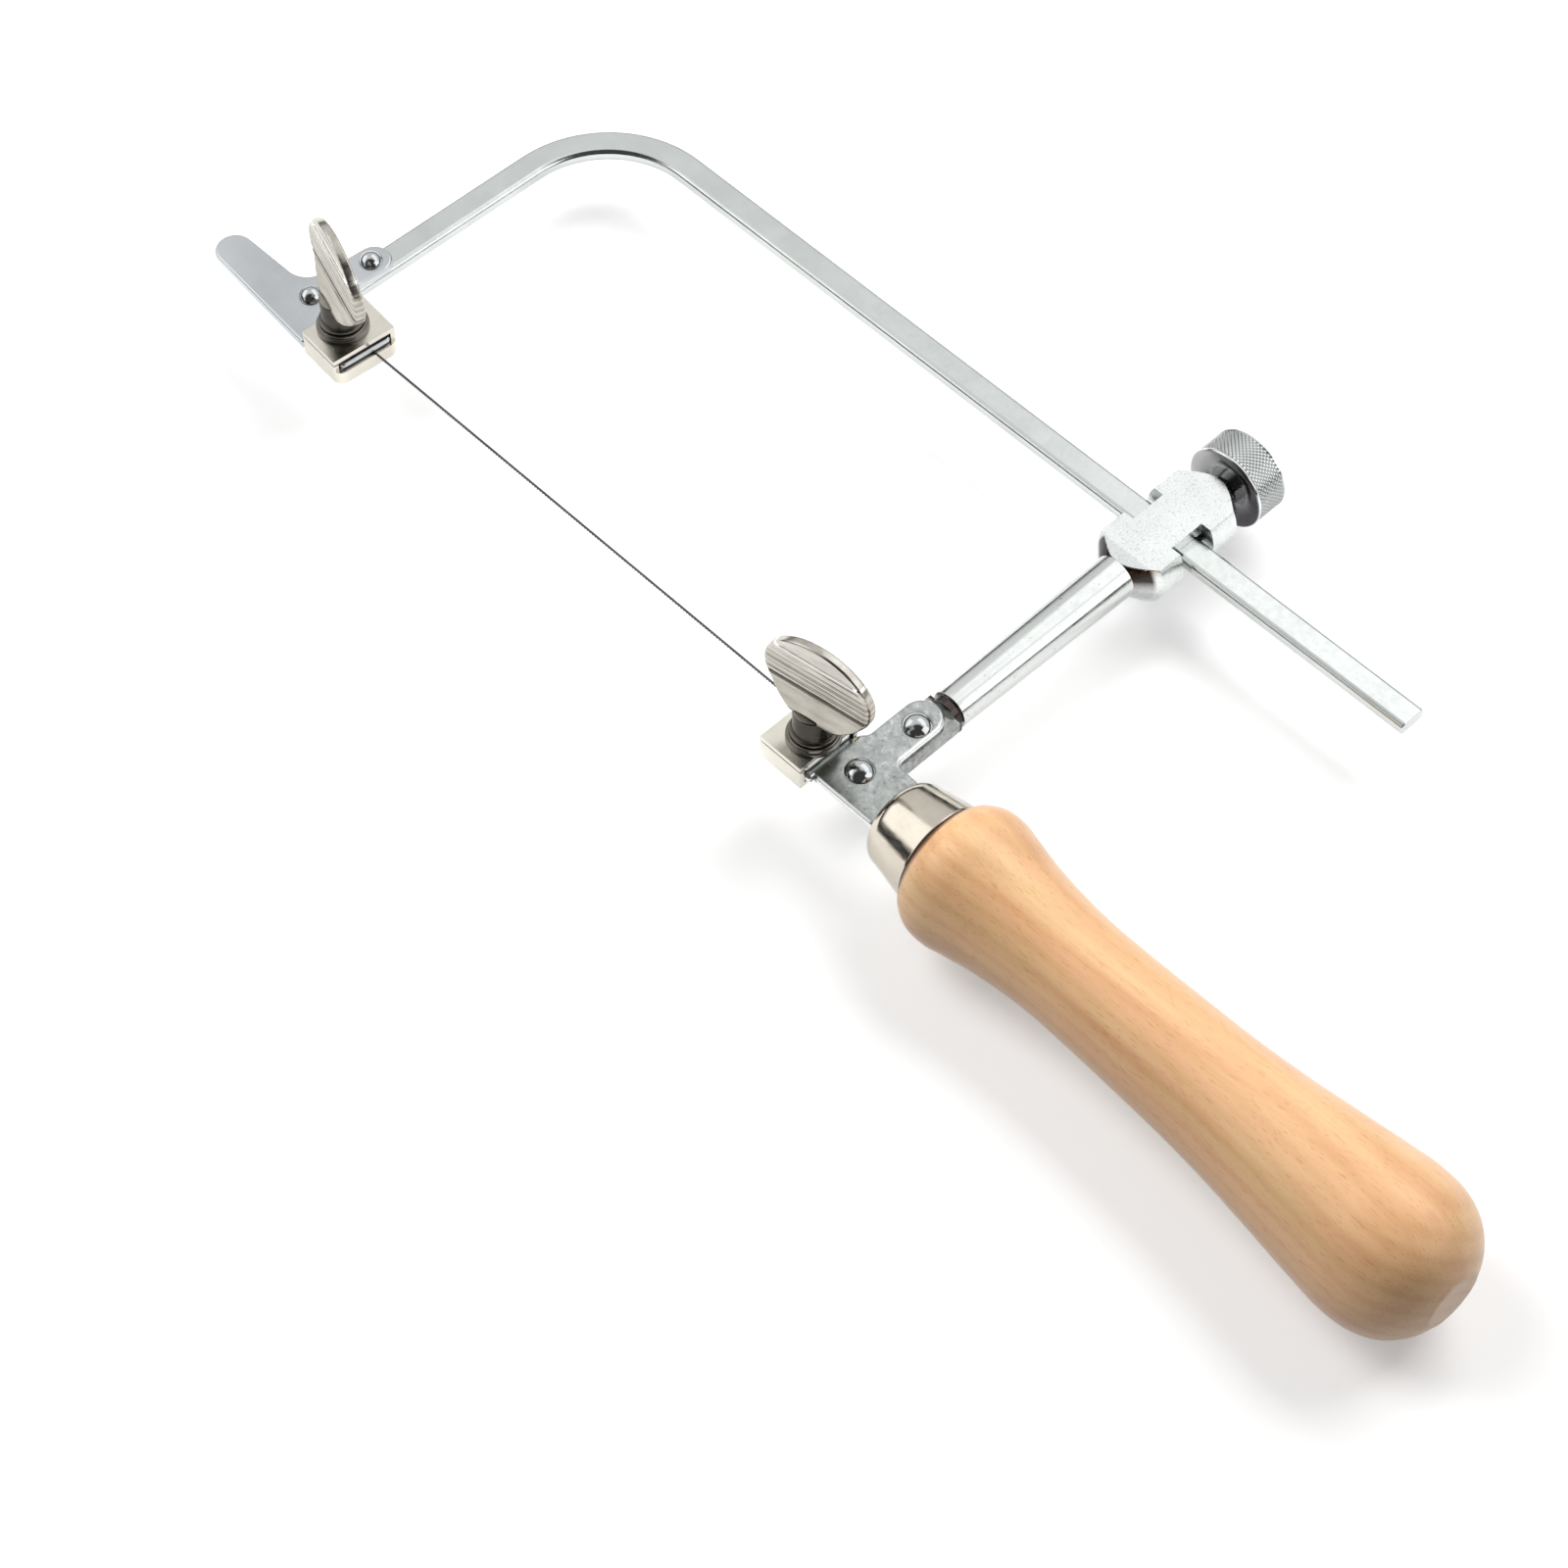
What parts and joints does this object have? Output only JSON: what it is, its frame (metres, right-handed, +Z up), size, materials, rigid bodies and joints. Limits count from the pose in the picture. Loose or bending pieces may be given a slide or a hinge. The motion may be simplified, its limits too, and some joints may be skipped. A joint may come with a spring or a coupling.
{
  "type": "fret saw",
  "caption": "Adjustable fret saw: a bent spine bar slides in a slotted head, wing screws clamp a thin toothed blade across the throat, and a turned wood handle carries the lower plate.",
  "frame": {"origin": "under the middle of the saw's bounding box, at its lowest point, which is the underside of the handle", "axes": "+X from the front clamp to the handle along the blade, +Y from the blade to the spine bar, +Z up towards the wing screws, square to the plates"},
  "size_m": [0.3304, 0.129, 0.047],
  "materials": {
    "bar_steel": "bright drawn steel, plated",
    "plate_zinc": "zinc-plated sheet, softly mottled",
    "rivet_steel": "polished domes",
    "clamp_nickel": "warm nickel plate",
    "bush_steel": "dark burnished steel",
    "blade_steel": "tempered blade steel",
    "head_steel": "turned and plated steel",
    "knob_steel": "knurled and plated steel",
    "ferrule_nickel": "nickel-plated tube",
    "beech": "turned beech, clear lacquer"
  },
  "bodies": {
    "handle_side": {"wood_handle": "beech", "ferrule": "ferrule_nickel", "lower_plate": "plate_zinc", "lower_rivets": "rivet_steel", "arm_rod": "bar_steel", "slide_head": "head_steel", "lower_clamp_sleeve": "clamp_nickel", "lower_screw_bush": "bush_steel", "saw_blade": "blade_steel"},
    "frame_side": {"frame_bar": "bar_steel", "front_plate": "plate_zinc", "front_rivets": "rivet_steel", "front_clamp_sleeve": "clamp_nickel", "front_screw_bush": "bush_steel"},
    "front_jaw_unit": {"front_jaw": "plate_zinc"},
    "front_wing_unit": {"front_wing_screw": "clamp_nickel"},
    "lower_jaw_unit": {"lower_jaw": "plate_zinc"},
    "lower_wing_unit": {"lower_wing_screw": "clamp_nickel"},
    "shoe_unit": {"pressure_shoe": "bush_steel"},
    "knob_unit": {"clamp_screw": "head_steel", "clamp_knob": "knob_steel"}
  },
  "joints": [
    {"name": "frame_slide", "type": "slide", "parent": "handle_side", "child": "frame_side", "axis": [1, 0, 0], "range_m": [-0.045, 0.012]},
    {"name": "front_jaw_lift", "type": "slide", "parent": "frame_side", "child": "front_jaw_unit", "axis": [0, 0, 1], "range_m": [0, 0.0004]},
    {"name": "front_wing_turn", "type": "hinge", "parent": "front_jaw_unit", "child": "front_wing_unit", "pos_m": [-0.12771, -0.0431, 0.0185], "axis": [0, 0, 1], "range_deg": [0, 180]},
    {"name": "lower_jaw_lift", "type": "slide", "parent": "handle_side", "child": "lower_jaw_unit", "axis": [0, 0, 1], "range_m": [0, 0.0004]},
    {"name": "lower_wing_turn", "type": "hinge", "parent": "lower_jaw_unit", "child": "lower_wing_unit", "pos_m": [0.00899, -0.0461, 0.0185], "axis": [0, 0, 1], "range_deg": [0, 180]},
    {"name": "shoe_feed", "type": "slide", "parent": "handle_side", "child": "shoe_unit", "axis": [0, 1, 0], "range_m": [0, 0.001]},
    {"name": "knob_turn", "type": "hinge", "parent": "shoe_unit", "child": "knob_unit", "pos_m": [0.01909, 0.0552, 0.0135], "axis": [0, 1, 0], "range_deg": [0, 360]}
  ],
  "couplings": [
    {"joint": "front_wing_turn", "follows": "front_jaw_lift", "rad_per_m": 7853.9},
    {"joint": "lower_wing_turn", "follows": "lower_jaw_lift", "rad_per_m": 7853.9},
    {"joint": "knob_turn", "follows": "shoe_feed", "rad_per_m": 6283.1}
  ]
}
